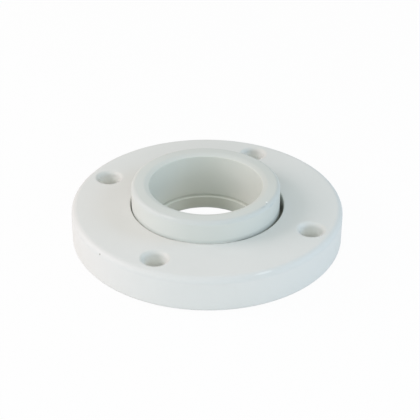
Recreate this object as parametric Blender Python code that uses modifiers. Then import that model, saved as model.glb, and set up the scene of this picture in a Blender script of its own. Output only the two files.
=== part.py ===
"""Flange adaptor for plastic pipe: a stub flange with a glued pipe socket, and the loose
backing ring that turns on it so that its four bolt holes can be lined up."""

import math

import bpy

# Sizes are in metres and angles in degrees. Z is up, the sealing face lies on Z = 0 and
# the backing ring is centred on the origin.

# Pipe socket of the stub flange
PIPE_DIAMETER = 0.0889
MOUTH_CLEARANCE = 0.0005        # on the diameter, where the pipe goes in
ROOT_INTERFERENCE = 0.0005      # on the diameter, where the socket grips the pipe
SOCKET_DEPTH = 0.0373
MOUTH_BEVEL_WIDTH = 0.0040      # shallow lead-in round the mouth
MOUTH_BEVEL_DEPTH = 0.0015
STOP_HEIGHT = 0.0112            # pipe stop above the sealing face
STOP_WIDTH = 0.0027             # how far the stop stands in from the socket wall
WATERWAY_TAPER = 0.0004         # how much the waterway closes in from the stop to its foot

# Outside of the stub flange
BARREL_WALL = 0.0140
BARREL_ROUND = 0.0038
NECK_FILLET = 0.0012
COLLAR_THICKNESS = 0.0130
COLLAR_REACH = 0.0143           # how far the collar stands out from the barrel
COLLAR_ROUND = 0.0010
WATERWAY_ROUND = 0.0015

# Serrations turned into the sealing face
GROOVE_COUNT = 4
GROOVE_PITCH = 0.0055
GROOVE_WIDTH = 0.0020
GROOVE_DEPTH = 0.0008

# How the ring sits on the stub flange
BORE_CLEARANCE = 0.0020         # between barrel and ring bore, when centred
SIDE_GAP = 0.0004               # the least that is left of it where the stub has slid across
RECESS_GAP = 0.0008             # the least between collar and recess wall
SEAT_GAP = 0.0003               # between the collar's shoulder and the ring
COLLAR_PROUD = 0.0008           # sealing face beyond the ring's underside
SLIDE_HEADING = 222.0           # the way the stub has slid, from +X towards +Y

# Backing ring
RING_THICKNESS = 0.0290
RIM_TOP_ROUND = 0.0050
RIM_FOOT_ROUND = 0.0025
RING_BORE_ROUND = 0.0006
NECK_RELIEF = 0.0020            # chamfer that clears the neck fillet
RECESS_FILLET = 0.0008
RECESS_CHAMFER = 0.0008

# Bolt holes of the backing ring
BOLT_COUNT = 4
BOLT_HOLE = 0.0180
BOLT_LIP = 0.0024               # rounding of a hole's upper edge
BOLT_FOOT = 0.0008              # rounding of its lower edge
LAND_INSIDE = 0.0046            # between a hole and the recess
LAND_OUTSIDE = 0.0095           # between a hole and the rim
BOLT_HEADING = 64.4             # direction of the first hole, from +X towards +Y

# Fineness of the turned surfaces
RING_STEPS = 84
STUB_STEPS = 64
HOLE_STEPS = 28
FINE_ARC = 6
ARC = 3
CUT_OVERRUN = 0.004

# Sizes that follow from the ones above
mouth_radius = (PIPE_DIAMETER + MOUTH_CLEARANCE) / 2
root_radius = (PIPE_DIAMETER - ROOT_INTERFERENCE) / 2
stop_radius = root_radius - STOP_WIDTH
waterway_radius = stop_radius - WATERWAY_TAPER
barrel_radius = mouth_radius + BARREL_WALL
collar_radius = barrel_radius + COLLAR_REACH
stub_height = STOP_HEIGHT + SOCKET_DEPTH

slide = BORE_CLEARANCE - SIDE_GAP
ring_bore_radius = barrel_radius + BORE_CLEARANCE
recess_radius = collar_radius + slide + RECESS_GAP
recess_depth = COLLAR_THICKNESS + SEAT_GAP - COLLAR_PROUD

bolt_radius = BOLT_HOLE / 2
bolt_circle_radius = recess_radius + LAND_INSIDE + bolt_radius
ring_radius = bolt_circle_radius + bolt_radius + LAND_OUTSIDE


def arc(centre_x, centre_z, radius, start, end, segments):
    """Points on an arc of a profile, ends included, with angles in degrees from +X."""
    angles = [math.radians(start + (end - start) * i / segments) for i in range(segments + 1)]
    return [(centre_x + radius * math.cos(a), centre_z + radius * math.sin(a)) for a in angles]


def stub_profile():
    """Section of the stub flange: down the barrel, in under the collar and up the socket."""
    top = stub_height
    shoulder = COLLAR_THICKNESS
    points = arc(barrel_radius - BARREL_ROUND, top - BARREL_ROUND, BARREL_ROUND, 90, 0, FINE_ARC)
    points += arc(barrel_radius + NECK_FILLET, shoulder + NECK_FILLET, NECK_FILLET, 180, 270, ARC)
    points += arc(collar_radius - COLLAR_ROUND, shoulder - COLLAR_ROUND, COLLAR_ROUND, 90, 0, ARC)
    points += arc(collar_radius - COLLAR_ROUND, COLLAR_ROUND, COLLAR_ROUND, 0, -90, ARC)
    points += sealing_grooves()
    points += arc(waterway_radius + WATERWAY_ROUND, WATERWAY_ROUND, WATERWAY_ROUND, 270, 180, ARC)
    points += [(stop_radius, STOP_HEIGHT), (root_radius, STOP_HEIGHT)]
    points += [(mouth_radius, top - MOUTH_BEVEL_DEPTH), (mouth_radius + MOUTH_BEVEL_WIDTH, top)]
    return points


def sealing_grooves():
    """V-grooves across the middle of the sealing face, from the outermost inwards."""
    middle = (waterway_radius + collar_radius) / 2
    outermost = middle + GROOVE_PITCH * (GROOVE_COUNT - 1) / 2
    points = []
    for i in range(GROOVE_COUNT):
        radius = outermost - GROOVE_PITCH * i
        points.append((radius + GROOVE_WIDTH / 2, 0))
        points.append((radius, GROOVE_DEPTH))
        points.append((radius - GROOVE_WIDTH / 2, 0))
    return points


def ring_profile():
    """Section of the backing ring: down the rim, through the collar's recess and up the bore."""
    top = RING_THICKNESS
    points = arc(ring_radius - RIM_TOP_ROUND, top - RIM_TOP_ROUND, RIM_TOP_ROUND, 90, 0, FINE_ARC)
    points += arc(ring_radius - RIM_FOOT_ROUND, RIM_FOOT_ROUND, RIM_FOOT_ROUND, 0, -90, ARC)
    points += [(recess_radius + RECESS_CHAMFER, 0), (recess_radius, RECESS_CHAMFER)]
    points += arc(recess_radius - RECESS_FILLET, recess_depth - RECESS_FILLET, RECESS_FILLET, 0, 90, ARC)
    points += [(ring_bore_radius + NECK_RELIEF, recess_depth), (ring_bore_radius, recess_depth + NECK_RELIEF)]
    points += arc(ring_bore_radius + RING_BORE_ROUND, top - RING_BORE_ROUND, RING_BORE_ROUND, 180, 90, ARC)
    return points


def hole_profile():
    """Section of a bolt hole's cutter, which flares out along the rounding at either end."""
    top = RING_THICKNESS
    upper = arc(bolt_radius + BOLT_LIP, top - BOLT_LIP, BOLT_LIP, 90, 180, ARC + 1)
    lower = arc(bolt_radius + BOLT_FOOT, BOLT_FOOT, BOLT_FOOT, 180, 270, ARC)
    mouth = carried_on(upper[1], upper[0])
    foot = carried_on(lower[-2], lower[-1])
    points = [(0, top + CUT_OVERRUN), (mouth[0], top + CUT_OVERRUN), mouth]
    points += upper[1:] + lower[:-1]
    points += [foot, (foot[0], -CUT_OVERRUN), (0, -CUT_OVERRUN)]
    return points


def carried_on(start, end):
    """The point as far beyond the end of a facet again, so that a cut crosses the face cleanly."""
    return 2 * end[0] - start[0], 2 * end[1] - start[1]


def turned(name, points, steps, closed):
    """An object that turns a profile, drawn in its XZ plane, about its own Z axis."""
    mesh = bpy.data.meshes.new(name)
    edges = [(i, i + 1) for i in range(len(points) - 1)]
    if closed:
        edges.append((len(points) - 1, 0))
    mesh.from_pydata([(x, 0, z) for x, z in points], edges, [])
    turned_object = bpy.data.objects.new(name, mesh)
    screw = turned_object.modifiers.new("turn", "SCREW")
    screw.axis = "Z"
    screw.angle = math.tau
    screw.steps = steps
    screw.render_steps = steps
    screw.use_merge_vertices = True
    screw.merge_threshold = 0.00001
    screw.use_smooth_shade = True
    return turned_object


def bolt_hole_cutters():
    """One cutter for each bolt hole, placed round the bolt circle at the ring's height."""
    cutters = []
    for i in range(BOLT_COUNT):
        heading = math.radians(BOLT_HEADING + 360 * i / BOLT_COUNT)
        cutter = turned(f"bolt_hole_{i + 1}", hole_profile(), HOLE_STEPS, closed=False)
        across = bolt_circle_radius * math.cos(heading)
        along = bolt_circle_radius * math.sin(heading)
        cutter.location = (across, along, COLLAR_PROUD)
        cutter.hide_render = True
        cutter.display_type = "WIRE"
        cutters.append(cutter)
    return cutters


def cut(target, cutter):
    boolean = target.modifiers.new(cutter.name, "BOOLEAN")
    boolean.operation = "DIFFERENCE"
    boolean.solver = "EXACT"
    boolean.object = cutter


def crisp_flats(target):
    """Lets the flat faces keep flat shading next to their rounded edges."""
    weighted = target.modifiers.new("flats", "WEIGHTED_NORMAL")
    weighted.mode = "FACE_AREA"


def plastic(name, colour, roughness):
    material = bpy.data.materials.new(name)
    material.use_nodes = True
    shader = material.node_tree.nodes["Principled BSDF"]
    shader.inputs["Base Color"].default_value = (*colour, 1)
    shader.inputs["Roughness"].default_value = roughness
    shader.inputs["Metallic"].default_value = 0
    material.diffuse_color = (*colour, 1)
    return material


def new_collection(name):
    collection = bpy.data.collections.new(name)
    bpy.context.scene.collection.children.link(collection)
    return collection


def clear_scene():
    for old in list(bpy.data.objects):
        bpy.data.objects.remove(old, do_unlink=True)


def main():
    clear_scene()
    parts = new_collection("flange_adaptor")
    tools = new_collection("cutters")

    adaptor = bpy.data.objects.new("flange_adaptor", None)
    parts.objects.link(adaptor)

    stub = turned("stub_flange", stub_profile(), STUB_STEPS, closed=True)
    heading = math.radians(SLIDE_HEADING)
    stub.location = (slide * math.cos(heading), slide * math.sin(heading), 0)
    stub.data.materials.append(plastic("stub_plastic", (0.68, 0.71, 0.68), 0.42))

    ring = turned("backing_ring", ring_profile(), RING_STEPS, closed=True)
    ring.location = (0, 0, COLLAR_PROUD)
    ring.data.materials.append(plastic("ring_plastic", (0.72, 0.73, 0.70), 0.45))
    for cutter in bolt_hole_cutters():
        tools.objects.link(cutter)
        cut(ring, cutter)

    for piece in (stub, ring):
        parts.objects.link(piece)
        piece.parent = adaptor
        crisp_flats(piece)


main()
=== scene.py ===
import math

import bmesh
import bpy
from mathutils import Matrix, Vector


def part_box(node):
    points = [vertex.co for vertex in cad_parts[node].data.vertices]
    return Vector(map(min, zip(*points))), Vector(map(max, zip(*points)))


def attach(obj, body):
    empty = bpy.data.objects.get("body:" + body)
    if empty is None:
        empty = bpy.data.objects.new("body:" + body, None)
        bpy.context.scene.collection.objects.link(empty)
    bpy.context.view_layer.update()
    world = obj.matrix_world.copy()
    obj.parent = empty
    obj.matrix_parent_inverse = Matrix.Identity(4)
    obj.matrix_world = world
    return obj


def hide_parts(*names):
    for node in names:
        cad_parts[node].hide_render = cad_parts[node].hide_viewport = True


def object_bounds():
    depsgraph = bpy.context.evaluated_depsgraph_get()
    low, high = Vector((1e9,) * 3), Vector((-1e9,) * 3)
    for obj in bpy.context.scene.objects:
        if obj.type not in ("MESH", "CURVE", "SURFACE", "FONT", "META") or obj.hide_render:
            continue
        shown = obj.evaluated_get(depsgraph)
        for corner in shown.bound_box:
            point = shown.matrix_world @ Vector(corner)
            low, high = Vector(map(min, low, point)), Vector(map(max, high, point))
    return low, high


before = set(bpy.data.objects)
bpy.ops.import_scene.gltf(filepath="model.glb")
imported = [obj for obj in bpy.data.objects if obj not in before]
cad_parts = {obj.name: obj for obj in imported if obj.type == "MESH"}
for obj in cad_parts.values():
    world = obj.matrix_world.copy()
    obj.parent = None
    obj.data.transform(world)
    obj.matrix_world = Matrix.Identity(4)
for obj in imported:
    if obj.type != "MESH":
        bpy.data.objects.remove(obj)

cad_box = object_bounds()

# Sizes are in metres and angles in degrees. The pieces take their outer sizes and their
# places from the CAD nodes, and their roundings and inner steps from the values below.

# Pipe socket and waterway of the stub
MOUTH_RADIUS = 0.0447
ROOT_RADIUS = 0.0442
WATERWAY_RADIUS = 0.0411
STOP_RADIUS = 0.0415
STOP_HEIGHT = 0.0112
MOUTH_BEVEL_WIDTH = 0.0040
MOUTH_BEVEL_DEPTH = 0.0015
WATERWAY_ROUND = 0.0015
STOP_EDGE_ROUND = 0.0003
MOUTH_INNER_ROUND = 0.0006
MOUTH_OUTER_ROUND = 0.0010

# Outside of the stub
BARREL_RADIUS = 0.0587
BARREL_ROUND = 0.0038
NECK_FILLET = 0.0012
COLLAR_THICKNESS = 0.0130
COLLAR_ROUND = 0.0010
GROOVE_COUNT = 4
GROOVE_PITCH = 0.0055
GROOVE_WIDTH = 0.0020
GROOVE_DEPTH = 0.0008

# Backing ring
RING_BORE_RADIUS = 0.0607
RING_BORE_ROUND = 0.0006
NECK_RELIEF = 0.0020
RECESS_RADIUS = 0.0754
RECESS_DEPTH = 0.0125
RECESS_FILLET = 0.0008
RECESS_CHAMFER = 0.0008
RIM_TOP_ROUND = 0.0050
RIM_FOOT_ROUND = 0.0025
BOLT_COUNT = 4
BOLT_HOLE_RADIUS = 0.0090
BOLT_CIRCLE_RADIUS = 0.0890
BOLT_HEADING = 64.4
BOLT_LIP = 0.0033
BOLT_FOOT = 0.0008
DRILL_OVERRUN = 0.004

# Plastic: sizes of the clouding, flecks and grain, and how high and strong the relief is
CLOUD_SIZE = 0.035
FLECK_SIZE = 0.005
GRAIN_SIZE = 0.0007
FLECK_SHARE = 0.3
FLECK_RELIEF = (0.00012, 0.25)
GRAIN_RELIEF = (0.00003, 0.35)
STUB_ROUGHNESS = 0.48
RING_ROUGHNESS = 0.50

# Tones of the stub: its own pale and deep tones, then painted light and shade for the socket, waterway,
# pipe stop and barrel
STUB_PALE = (0.672, 0.693, 0.656)
STUB_DEEP = (0.652, 0.677, 0.638)
SOCKET_WALL_LIGHT_TINT = (0.680, 0.702, 0.650)
SOCKET_SIDES_LIGHT = (0.80, 0.81, 0.75)
WATERWAY_SHADE = (0.60, 0.615, 0.55)
WATERWAY_SIDES_LIGHT = (0.84, 0.86, 0.80)
STOP_EDGE_HIGHLIGHT = (0.90, 0.92, 0.86)
STOP_CORNER_SHADE = (0.36, 0.38, 0.33)
BARREL_FOOT_SHADE = (0.46, 0.50, 0.47)
BARREL_BEND_SHADE = (0.58, 0.61, 0.60)
BARREL_TOP_SHADE = (0.58, 0.60, 0.56)

# Tones of the ring: its own pale and deep tones, then painted shade, light and shadow for the hole lips
# and walls, the bore's edge, the flat beside the barrel and the rim's bend
RING_PALE = (0.752, 0.758, 0.730)
RING_DEEP = (0.732, 0.742, 0.714)
HOLE_LIP_SHADE = (0.61, 0.62, 0.58)
HOLE_WALL_LIGHT = (0.97, 0.98, 0.94)
BORE_EDGE_SHADE = (0.42, 0.43, 0.36)
BESIDE_BARREL_SHADOW = (0.55, 0.57, 0.55)
RIM_BEND_SHADE = (0.64, 0.66, 0.65)

# Painted light in the front of the gap between the two: its tone and where it starts along Y
GAP_PAINTED_LIGHT = (0.95, 0.96, 0.93)
GAP_PAINTED_LIGHT_FROM = (-0.0592, -0.0530)

# Small marks, real scuffs and specks, and painted highlights: middle, heading, reach each way, strength
# and tone
STUB_SCUFFS_AND_HIGHLIGHT = [
    ((0.0457, -0.0297, 0.0485), 0, (0.0011, 0.0011, 0.0011), 1.0, (0.90, 0.93, 0.90)),
    ((0.0457, -0.0320, 0.0484), 0, (0.0008, 0.0010, 0.0010), 0.7, (0.48, 0.52, 0.52)),
    ((0.0430, -0.0364, 0.0481), 47, (0.0036, 0.0010, 0.0012), 0.5, (0.50, 0.54, 0.53)),
    ((0.0492, -0.0304, 0.0460), 58, (0.0050, 0.0012, 0.0012), 0.35, (0.48, 0.53, 0.54)),
    # Painted highlight: a pale streak on the barrel's upper bend at the front left
    ((-0.0290, -0.0513, 0.0476), -28, (0.0085, 0.0018, 0.0010), 0.25, (0.80, 0.82, 0.80)),
    ((0.0432, 0.0335, 0.0483), 30, (0.0012, 0.0007, 0.0008), 0.9, (0.36, 0.38, 0.36)),
]
RING_SPECK_AND_GLINT = [
    ((-0.0803, -0.0714, 0.0268), 0, (0.0011, 0.0011, 0.0011), 1.0, (0.36, 0.36, 0.32)),
    # Painted glint: a pale stroke on the rim's rounding at the front right
    ((0.0425, -0.0972, 0.0287), 24, (0.0105, 0.0024, 0.0008), 0.5, (0.90, 0.92, 0.90)),
]

# Fineness of the turned surfaces
RING_STEPS = 256
STUB_STEPS = 192
HOLE_STEPS = 64
SHARP_ANGLE = 35
MERGE_DISTANCE = 0.00001

# Floor and sky
FLOOR_RADIUS = 3.0
FLOOR_STEPS = 96
FLOOR_GAP = 0.00005
FLOOR_GREY = (0.76, 0.76, 0.76, 1)
FLOOR_WHITE = 0.96
SKY_COLOUR = (0.978, 1.0, 0.955, 1)
SKY_STRENGTH = 0.617
WHITE = (1, 1, 1, 1)

# Lamps: name, heading, elevation, power and colour
LAMP_DISTANCE = 1.0
LAMP_SIZE = 0.6
LAMPS = [
    ("softbox_left", 180, 31, 4.7, (1.0, 0.88, 0.92)),
    ("softbox_right", 0, 28, 2.95, (0.51, 0.73, 1.0)),
    ("softbox_front", 270, 12, 3.05, (0.77, 0.87, 1.0)),
]

# Camera: the photograph looks along +Y and down
CAMERA_ELEVATION = 31.63
CAMERA_ROLL = 0.50
CAMERA_DISTANCE = 1.0635
CAMERA_LENS = 114.41
CAMERA_SENSOR = 36
CAMERA_AIM = Vector((0.0023, 0.0, 0.0227))


def new_piece(name, bm):
    """An object in the scene that takes over a bmesh."""
    mesh = bpy.data.meshes.new(name)
    bm.to_mesh(mesh)
    bm.free()
    piece = bpy.data.objects.new(name, mesh)
    bpy.context.scene.collection.objects.link(piece)
    return piece


def rounded(bm, edges, size, segments):
    bmesh.ops.bevel(bm, geom=edges, offset=size, offset_type="OFFSET", affect="EDGES",
                    segments=segments, profile=0.5, material=-1)


def turned(name, outline, steps, heading, round_over):
    """A closed outline of (radius, height) turned about Z, with the named corners rounded over.

    round_over holds (radius, height, size, segments) for each corner that isn't left sharp."""
    bm = bmesh.new()
    corners = [bm.verts.new((radius, 0, height)) for radius, height in outline]
    loop = [bm.edges.new((a, b)) for a, b in zip(corners, corners[1:] + corners[:1])]
    bmesh.ops.rotate(bm, verts=corners, matrix=Matrix.Rotation(math.radians(heading), 3, "Z"))
    bmesh.ops.spin(bm, geom=corners + loop, axis=(0, 0, 1), angle=math.tau, steps=steps, use_merge=True)
    bmesh.ops.remove_doubles(bm, verts=bm.verts, dist=MERGE_DISTANCE)
    bmesh.ops.recalc_face_normals(bm, faces=bm.faces)
    for radius, height, size, segments in round_over:
        edges = [edge for edge in bm.edges if all(at_corner(v, radius, height) for v in edge.verts)]
        rounded(bm, edges, size, segments)
    return new_piece(name, bm)


def at_corner(vertex, radius, height, slack=0.00002):
    return abs(vertex.co.xy.length - radius) < slack and abs(vertex.co.z - height) < slack


def sealing_grooves(inner, outer):
    """V-grooves across the middle of the sealing face, from the outermost inwards."""
    outermost = (inner + outer) / 2 + GROOVE_PITCH * (GROOVE_COUNT - 1) / 2
    points = []
    for i in range(GROOVE_COUNT):
        radius = outermost - GROOVE_PITCH * i
        points.append((radius + GROOVE_WIDTH / 2, 0))
        points.append((radius, GROOVE_DEPTH))
        points.append((radius - GROOVE_WIDTH / 2, 0))
    return points


def finished(piece, low, high):
    """Moves a piece into its node's box, and gives it smooth faces, sharp edges and flat flats."""
    middle = (low + high) / 2
    piece.data.transform(Matrix.Translation((middle.x, middle.y, low.z)))
    piece.data.shade_smooth()
    piece.data.set_sharp_from_angle(angle=math.radians(SHARP_ANGLE))
    flats = piece.modifiers.new("flats", "WEIGHTED_NORMAL")
    flats.mode = "FACE_AREA"
    flats.keep_sharp = True


def stub_body():
    """The stub: barrel with the pipe socket, pipe stop and waterway, and the collar at its foot."""
    low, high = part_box("stub_flange")
    top = high.z - low.z
    collar_radius = (high.x - low.x) / 2
    outline = [(BARREL_RADIUS, top), (BARREL_RADIUS, COLLAR_THICKNESS),
               (collar_radius, COLLAR_THICKNESS), (collar_radius, 0)]
    outline += sealing_grooves(WATERWAY_RADIUS, collar_radius)
    outline += [(WATERWAY_RADIUS, 0), (STOP_RADIUS, STOP_HEIGHT), (ROOT_RADIUS, STOP_HEIGHT),
                (MOUTH_RADIUS, top - MOUTH_BEVEL_DEPTH), (MOUTH_RADIUS + MOUTH_BEVEL_WIDTH, top)]
    round_over = [
        (BARREL_RADIUS, top, BARREL_ROUND, 8),
        (BARREL_RADIUS, COLLAR_THICKNESS, NECK_FILLET, 4),
        (collar_radius, COLLAR_THICKNESS, COLLAR_ROUND, 4),
        (collar_radius, 0, COLLAR_ROUND, 4),
        (WATERWAY_RADIUS, 0, WATERWAY_ROUND, 4),
        (STOP_RADIUS, STOP_HEIGHT, STOP_EDGE_ROUND, 2),
        (MOUTH_RADIUS, top - MOUTH_BEVEL_DEPTH, MOUTH_INNER_ROUND, 4),
        (MOUTH_RADIUS + MOUTH_BEVEL_WIDTH, top, MOUTH_OUTER_ROUND, 4),
    ]
    piece = turned("stub_body", outline, STUB_STEPS, 0, round_over)
    finished(piece, low, high)
    return piece


def ring_body():
    """The backing ring: rounded rim, bore, recess for the collar, and bolt holes with soft lips."""
    low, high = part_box("backing_ring")
    top = high.z - low.z
    radius = (high.x - low.x) / 2
    outline = [(radius, top), (radius, 0), (RECESS_RADIUS, 0), (RECESS_RADIUS, RECESS_DEPTH),
               (RING_BORE_RADIUS, RECESS_DEPTH), (RING_BORE_RADIUS, top)]
    round_over = [
        (radius, top, RIM_TOP_ROUND, 10),
        (radius, 0, RIM_FOOT_ROUND, 6),
        (RECESS_RADIUS, 0, RECESS_CHAMFER, 1),
        (RECESS_RADIUS, RECESS_DEPTH, RECESS_FILLET, 3),
        (RING_BORE_RADIUS, RECESS_DEPTH, NECK_RELIEF, 1),
        (RING_BORE_RADIUS, top, RING_BORE_ROUND, 4),
    ]
    between_holes = BOLT_HEADING + 180 / BOLT_COUNT
    piece = turned("ring_body", outline, RING_STEPS, between_holes, round_over)
    drill(piece, top)
    round_hole_edges(piece, top)
    finished(piece, low, high)
    return piece


def bolt_hole_centres():
    headings = [math.radians(BOLT_HEADING + 360 * i / BOLT_COUNT) for i in range(BOLT_COUNT)]
    return [Vector((math.cos(h), math.sin(h), 0)) * BOLT_CIRCLE_RADIUS for h in headings]


def drill(piece, top):
    """Cuts the bolt holes right through the ring, while it still lies at height 0."""
    drills = []
    for i, centre in enumerate(bolt_hole_centres()):
        bm = bmesh.new()
        bmesh.ops.create_cone(bm, cap_ends=True, segments=HOLE_STEPS, radius1=BOLT_HOLE_RADIUS,
                              radius2=BOLT_HOLE_RADIUS, depth=top + 2 * DRILL_OVERRUN)
        turn = Matrix.Rotation(math.radians(BOLT_HEADING), 3, "Z")
        bmesh.ops.rotate(bm, verts=bm.verts, matrix=turn)
        bmesh.ops.translate(bm, verts=bm.verts, vec=centre + Vector((0, 0, top / 2)))
        tool = new_piece(f"drill_{i + 1}", bm)
        drills.append(tool)
        cut = piece.modifiers.new(tool.name, "BOOLEAN")
        cut.operation = "DIFFERENCE"
        cut.solver = "EXACT"
        cut.object = tool
    depsgraph = bpy.context.evaluated_depsgraph_get()
    drilled = bpy.data.meshes.new_from_object(piece.evaluated_get(depsgraph))
    piece.modifiers.clear()
    piece.data = drilled
    for tool in drills:
        bpy.data.objects.remove(tool, do_unlink=True)


def round_hole_edges(piece, top):
    """Joins the flats beside each hole into plain faces, then rounds the hole's two edges over."""
    bm = bmesh.new()
    bm.from_mesh(piece.data)
    bmesh.ops.remove_doubles(bm, verts=bm.verts, dist=MERGE_DISTANCE)
    for centre in bolt_hole_centres():
        for height, size, segments in ((top, BOLT_LIP, 8), (0, BOLT_FOOT, 3)):
            seams = [edge for edge in bm.edges if crosses_flat(edge, centre, height)]
            bmesh.ops.dissolve_edges(bm, edges=seams, use_verts=True)
            hole_edge = [edge for edge in bm.edges
                         if all(on_hole_edge(v, centre, height) for v in edge.verts)]
            rounded(bm, hole_edge, size, segments)
    bm.to_mesh(piece.data)
    bm.free()


def on_hole_edge(vertex, centre, height, slack=0.00005):
    across = (vertex.co.xy - centre.xy).length
    return abs(vertex.co.z - height) < slack and abs(across - BOLT_HOLE_RADIUS) < slack


def crosses_flat(edge, centre, height, slack=0.00005, askew=0.01, margin=0.002):
    """True for a seam across a flat that would get in the way of a hole's rounded edge."""
    a, b = (v.co for v in edge.verts)
    if abs(a.z - height) > slack or abs(b.z - height) > slack:
        return False
    along = (b - a).normalized()
    outward = (a + b).normalized()
    if along.cross(Vector((outward.x, outward.y, 0)).normalized()).length > askew:
        return False
    if all(on_hole_edge(v, centre, height) for v in edge.verts):
        return False
    if centre.dot(outward) < 0:
        return False
    beside = abs((a - centre).cross(along).z)
    return slack < beside < BOLT_HOLE_RADIUS + BOLT_LIP + margin


class Signal:
    """An output of a material's node, so that shader maths reads as plain arithmetic."""

    def __init__(self, finish, socket):
        self.finish = finish
        self.socket = socket

    def _maths(self, operation, first, second):
        return self.finish.node("ShaderNodeMath", {"operation": operation}, {0: first, 1: second})

    def __add__(self, other):
        return self._maths("ADD", self, other)

    def __radd__(self, other):
        return self._maths("ADD", other, self)

    def __sub__(self, other):
        return self._maths("SUBTRACT", self, other)

    def __rsub__(self, other):
        return self._maths("SUBTRACT", other, self)

    def __mul__(self, other):
        return self._maths("MULTIPLY", self, other)

    def __rmul__(self, other):
        return self._maths("MULTIPLY", other, self)


class Finish:
    """A material's nodes round its Principled BSDF."""

    def __init__(self, name, **constants):
        self.material = bpy.data.materials.new(name)
        self.material.use_nodes = True
        self.tree = self.material.node_tree
        self.shader = self.tree.nodes["Principled BSDF"]
        for socket, value in constants.items():
            self.shader.inputs[socket.replace("_", " ")].default_value = value

    def node(self, kind, settings, inputs, output=0):
        """Adds a node: its settings first, then its sockets' values or links."""
        made = self.tree.nodes.new(kind)
        for setting, value in settings.items():
            setattr(made, setting, value)
        for socket, value in inputs.items():
            self.feed(made.inputs[socket], value)
        return Signal(self, made.outputs[output])

    def feed(self, socket, value):
        if isinstance(value, Signal):
            self.tree.links.new(value.socket, socket)
        else:
            socket.default_value = value

    def place(self):
        return self.node("ShaderNodeTexCoord", {}, {}, "Object")

    def noise(self, place, size, detail):
        """Noise from 0 to 1 whose patches are about this many metres across."""
        inputs = {"Vector": place, "Scale": 1 / size, "Detail": detail}
        return self.node("ShaderNodeTexNoise", {}, inputs, "Fac")

    def eased(self, value, low, high, to_low=0.0, to_high=1.0):
        """Smooth steps from one value to another as a value goes from low to high."""
        inputs = {"Value": value, "From Min": low, "From Max": high, "To Min": to_low, "To Max": to_high}
        return self.node("ShaderNodeMapRange", {"interpolation_type": "SMOOTHSTEP"}, inputs, "Result")

    def fading(self, value, low, high):
        """1 up to low, falling to 0 at high."""
        return self.eased(value, low, high, 1.0, 0.0)

    def band(self, value, low, high, edge):
        """1 where a value lies from low to high, falling to 0 over the edge on either side."""
        return self.eased(value, low - edge, low) * self.fading(value, high, high + edge)

    def parts(self, place):
        """The x, y and z of a place."""
        return [self.node("ShaderNodeSeparateXYZ", {}, {0: place}, axis) for axis in "XYZ"]

    def length(self, x, y):
        flat = self.node("ShaderNodeCombineXYZ", {}, {0: x, 1: y})
        return self.node("ShaderNodeVectorMath", {"operation": "LENGTH"}, {0: flat}, "Value")

    def unsigned(self, value):
        return self.node("ShaderNodeMath", {"operation": "ABSOLUTE"}, {0: value})

    def larger(self, first, second):
        return self.node("ShaderNodeMath", {"operation": "MAXIMUM"}, {0: first, 1: second})

    def smaller(self, first, second):
        return self.node("ShaderNodeMath", {"operation": "MINIMUM"}, {0: first, 1: second})

    def smear(self, place, centre, turn, reach):
        """1 at the centre of a small egg-shaped mark, falling to 0 at its reach each way."""
        rotation = (0, 0, math.radians(turn))
        inputs = {"Vector": place, "Location": centre, "Rotation": rotation, "Scale": reach}
        local = self.node("ShaderNodeMapping", {"vector_type": "TEXTURE"}, inputs)
        away = self.node("ShaderNodeVectorMath", {"operation": "LENGTH"}, {0: local}, "Value")
        return self.fading(away, 0.4, 1.0)

    def tint(self, amount, first, second):
        """The first colour, turning into the second as the amount goes to 1."""
        settings = {"data_type": "RGBA"}
        return self.node("ShaderNodeMix", settings, {0: amount, 6: first, 7: second}, 2)

    def bump(self, height, distance, strength, normal=None):
        inputs = {"Height": height, "Distance": distance, "Strength": strength}
        if normal is not None:
            inputs["Normal"] = normal
        return self.node("ShaderNodeBump", {}, inputs, "Normal")


def moulded_plastic(name, pale, deep, roughness, marks_and_painted_light):
    """Satin off-white plastic: faint clouding, a fine grain, a moulded skin, and the marks, painted
    light and painted shade laid on it.
    """
    finish = Finish(name, IOR=1.5, Specular_IOR_Level=0.35)
    place = finish.place()
    clouds = finish.noise(place, CLOUD_SIZE, 3)
    flecks = finish.noise(place, FLECK_SIZE, 3)
    grain = finish.noise(place, GRAIN_SIZE, 2)
    amount = finish.eased(clouds, 0.3, 0.7) * (1 - FLECK_SHARE) + flecks * FLECK_SHARE
    colour = finish.tint(amount, (*deep, 1), (*pale, 1))
    for share, tone in marks_and_painted_light(finish, place):
        colour = finish.tint(share, colour, (*tone, 1))
    finish.feed(finish.shader.inputs["Base Color"], colour)
    finish.feed(finish.shader.inputs["Roughness"], roughness - 0.05 + clouds * 0.06 + flecks * 0.04)
    skin = finish.bump(flecks, *FLECK_RELIEF)
    skin = finish.bump(grain, *GRAIN_RELIEF, skin)
    finish.feed(finish.shader.inputs["Normal"], skin)
    return finish.material


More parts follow.
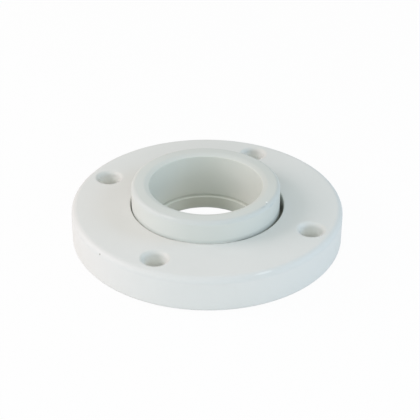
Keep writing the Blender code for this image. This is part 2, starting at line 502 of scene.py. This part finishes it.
def stub_painted_light_and_marks(finish, place):
    """Shares and tones laid over the stub's colour: painted light and shade on the socket, waterway,
    stop and barrel, scuffs, and a painted highlight.

    A distance beside a named size is where a tone starts or ends, short of it or past it."""
    low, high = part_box("stub_flange")
    ring_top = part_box("backing_ring")[1].z
    x, y, z = finish.parts(place)
    out = finish.length(x - (low.x + high.x) / 2, y - (low.y + high.y) / 2)

    # Painted tint of the light on the socket wall, and painted light low down at the left and right
    wall = finish.fading(out, MOUTH_RADIUS + 0.0002, MOUTH_RADIUS + 0.0010)
    wall = wall * finish.eased(z, STOP_HEIGHT - 0.0012, STOP_HEIGHT - 0.0004)
    yield wall, SOCKET_WALL_LIGHT_TINT
    sides = finish.eased(finish.unsigned(x), 0.008, 0.028)
    yield wall * sides * finish.eased(z, STOP_HEIGHT + 0.002, 0.030, 0.6, 0.0), SOCKET_SIDES_LIGHT

    # Painted shade in the waterway, paler at the left and right with painted light, kept off the sealing
    # face
    waterway = finish.fading(z, STOP_HEIGHT - 0.0006, STOP_HEIGHT - 0.0002)
    waterway = waterway * finish.fading(out, STOP_RADIUS + 0.0001, STOP_RADIUS + 0.0006)
    waterway = waterway * finish.eased(z, 0.0008, 0.0028)
    yield waterway, WATERWAY_SHADE
    yield waterway * sides * 0.6, WATERWAY_SIDES_LIGHT

    # Painted highlight on the edge of the pipe stop, and painted shade in the corner behind it
    edge = finish.band(z, STOP_HEIGHT - 0.0006, STOP_HEIGHT + 0.0006, 0.0005)
    yield edge * finish.band(out, STOP_RADIUS - 0.0010, STOP_RADIUS + 0.0006, 0.0006) * 0.8, STOP_EDGE_HIGHLIGHT
    corner = finish.band(z, STOP_HEIGHT - 0.0004, STOP_HEIGHT + 0.0008, 0.0004)
    corner = corner * finish.band(out, ROOT_RADIUS - 0.0006, ROOT_RADIUS + 0.0010, 0.0004)
    yield corner * 0.25, STOP_CORNER_SHADE

    # Barrel: painted shade where it comes out of the ring, and painted light in the gap at the front
    barrel = finish.band(out, BARREL_RADIUS - 0.0004, BARREL_RADIUS + 0.002, 0.0003)
    yield barrel * finish.band(z, ring_top + 0.0003, ring_top + 0.0010, 0.0022) * 0.30, BARREL_FOOT_SHADE
    inside = finish.fading(z, ring_top - 0.0004, ring_top + 0.0001)
    yield barrel * inside * finish.fading(y, *GAP_PAINTED_LIGHT_FROM), GAP_PAINTED_LIGHT

    # Painted shade on the bend at the barrel's upper edge, over the front half, and on the flat top at
    # the back right
    bend_shade = finish.eased(out, BARREL_RADIUS - 0.0045, BARREL_RADIUS - 0.0020)
    bend_shade = bend_shade * finish.eased(z, high.z - 0.0040, high.z - 0.0020) * finish.fading(y, -0.020, 0.020)
    yield bend_shade * 0.5, BARREL_BEND_SHADE
    flat = finish.eased(z, high.z - 0.0016, high.z - 0.0004)
    yield flat * finish.eased(y + x * 0.5, 0.000, 0.040) * 0.30, BARREL_TOP_SHADE

    yield from scuffs_and_highlights(finish, place, STUB_SCUFFS_AND_HIGHLIGHT)


def ring_painted_light_and_marks(finish, place):
    """Shares and tones laid over the ring's colour: painted light and shade on the bolt holes, bore and
    rim, a speck, and a painted glint.
    """
    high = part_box("backing_ring")[1]
    x, y, z = finish.parts(place)
    out = finish.length(x, y)

    # Bolt holes: all four folded onto one, with painted shade on the lips and painted light on the
    # walls, kept off the underside
    turn = math.radians(BOLT_HEADING)
    along = finish.unsigned(x * math.cos(turn) + y * math.sin(turn))
    across = finish.unsigned(y * math.cos(turn) - x * math.sin(turn))
    from_circle = finish.larger(along, across) - BOLT_CIRCLE_RADIUS
    from_hole = finish.length(from_circle, finish.smaller(along, across))
    in_hole = finish.fading(from_hole, BOLT_HOLE_RADIUS + 0.0015, BOLT_HOLE_RADIUS + BOLT_LIP)
    in_hole = in_hole * finish.eased(z, 0.0050, 0.0130)
    yield in_hole * finish.eased(x, -0.080, 0.080, 0.38, 0.04), HOLE_LIP_SHADE
    yield in_hole * finish.fading(z, high.z - 0.0085, high.z - 0.0006), HOLE_WALL_LIGHT

    # Painted shade in the bore's edge, with painted light at the front instead, and a light painted
    # shadow on the flat beside the barrel
    bore = finish.fading(out, RING_BORE_RADIUS + 0.0002, RING_BORE_RADIUS + 0.0012)
    front = finish.fading(y, *GAP_PAINTED_LIGHT_FROM)
    yield bore * (1.0 - front) * 0.5, BORE_EDGE_SHADE
    yield bore * front, GAP_PAINTED_LIGHT
    beside = finish.eased(out, RING_BORE_RADIUS, 0.080, 0.14, 0.0)
    yield beside * finish.eased(x, 0.030, 0.060), BESIDE_BARREL_SHADOW

    # Painted shade on the bend at the rim's upper edge
    bend_shade = finish.eased(out, high.x - 0.0055, high.x - 0.0025)
    yield bend_shade * finish.eased(z, high.z - 0.0060, high.z - 0.0035) * 0.35, RIM_BEND_SHADE

    yield from scuffs_and_highlights(finish, place, RING_SPECK_AND_GLINT)


def scuffs_and_highlights(finish, place, marks_and_painted_light):
    for centre, turn, reach, strength, tone in marks_and_painted_light:
        yield finish.smear(place, centre, turn, reach) * strength, tone


def white_ground():
    """The floor: white to the camera, with the object's shadow kept faint."""
    finish = Finish("white_ground", Base_Color=FLOOR_GREY, Roughness=0.9, Specular_IOR_Level=0.0)
    light_path = finish.tree.nodes.new("ShaderNodeLightPath")
    seen = Signal(finish, light_path.outputs["Is Camera Ray"])
    seen = seen + Signal(finish, light_path.outputs["Is Glossy Ray"])
    seen = seen + Signal(finish, light_path.outputs["Is Transmission Ray"])
    glow = finish.node("ShaderNodeEmission", {}, {"Color": WHITE, "Strength": 1.0})
    base = Signal(finish, finish.shader.outputs["BSDF"])
    surface = finish.node("ShaderNodeMixShader", {}, {0: seen * FLOOR_WHITE, 1: base, 2: glow})
    output = finish.tree.nodes["Material Output"]
    finish.feed(output.inputs["Surface"], surface)
    return finish.material


def floor():
    bm = bmesh.new()
    bmesh.ops.create_circle(bm, cap_ends=True, segments=FLOOR_STEPS, radius=FLOOR_RADIUS)
    plane = new_piece("floor", bm)
    plane.location.z = cad_box[0][2] - FLOOR_GAP
    plane.data.materials.append(white_ground())


def sky():
    """Even pale light from all round, which the camera sees as white."""
    world = bpy.data.worlds.new("studio")
    bpy.context.scene.world = world
    world.use_nodes = True
    tree = world.node_tree
    light = tree.nodes["Background"]
    light.inputs["Color"].default_value = SKY_COLOUR
    light.inputs["Strength"].default_value = SKY_STRENGTH
    white = tree.nodes.new("ShaderNodeBackground")
    white.inputs["Color"].default_value = WHITE
    white.inputs["Strength"].default_value = 1.0
    path = tree.nodes.new("ShaderNodeLightPath")
    mix = tree.nodes.new("ShaderNodeMixShader")
    tree.links.new(path.outputs["Is Camera Ray"], mix.inputs[0])
    tree.links.new(light.outputs[0], mix.inputs[1])
    tree.links.new(white.outputs[0], mix.inputs[2])
    tree.links.new(mix.outputs[0], tree.nodes["World Output"].inputs["Surface"])


def softbox(name, heading, elevation, power, colour):
    """An area lamp that faces the object from a heading and an elevation."""
    lamp = bpy.data.lights.new(name, "AREA")
    lamp.shape = "DISK"
    lamp.size = LAMP_SIZE
    lamp.energy = power
    lamp.color = colour
    holder = bpy.data.objects.new(name, lamp)
    around, up = math.radians(heading), math.radians(elevation)
    level = math.cos(up)
    direction = Vector((math.cos(around) * level, math.sin(around) * level, math.sin(up)))
    holder.location = direction * LAMP_DISTANCE
    holder.rotation_euler = direction.to_track_quat("Z", "Y").to_euler()
    holder.visible_camera = False
    bpy.context.scene.collection.objects.link(holder)


def camera():
    """The photograph's camera, held level but for a slight roll."""
    lens = bpy.data.cameras.new("camera")
    lens.lens = CAMERA_LENS
    lens.sensor_width = CAMERA_SENSOR
    view = bpy.data.objects.new("camera", lens)
    tilt = Matrix.Rotation(math.radians(90 - CAMERA_ELEVATION), 4, "X")
    roll = Matrix.Rotation(math.radians(CAMERA_ROLL), 4, "Z")
    back = tilt.to_3x3() @ Vector((0, 0, CAMERA_DISTANCE))
    view.matrix_world = Matrix.Translation(CAMERA_AIM + back) @ tilt @ roll
    bpy.context.scene.collection.objects.link(view)
    bpy.context.scene.camera = view


stub = stub_body()
stub_skin = moulded_plastic("stub_plastic_skin", STUB_PALE, STUB_DEEP, STUB_ROUGHNESS, stub_painted_light_and_marks)
stub.data.materials.append(stub_skin)
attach(stub, "stub")
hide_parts("stub_flange")

ring = ring_body()
ring_skin = moulded_plastic("ring_plastic_skin", RING_PALE, RING_DEEP, RING_ROUGHNESS, ring_painted_light_and_marks)
ring.data.materials.append(ring_skin)
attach(ring, "ring")
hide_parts("backing_ring")

floor()
sky()
for lamp in LAMPS:
    softbox(*lamp)
camera()

bpy.context.scene.view_settings.view_transform = "Standard"
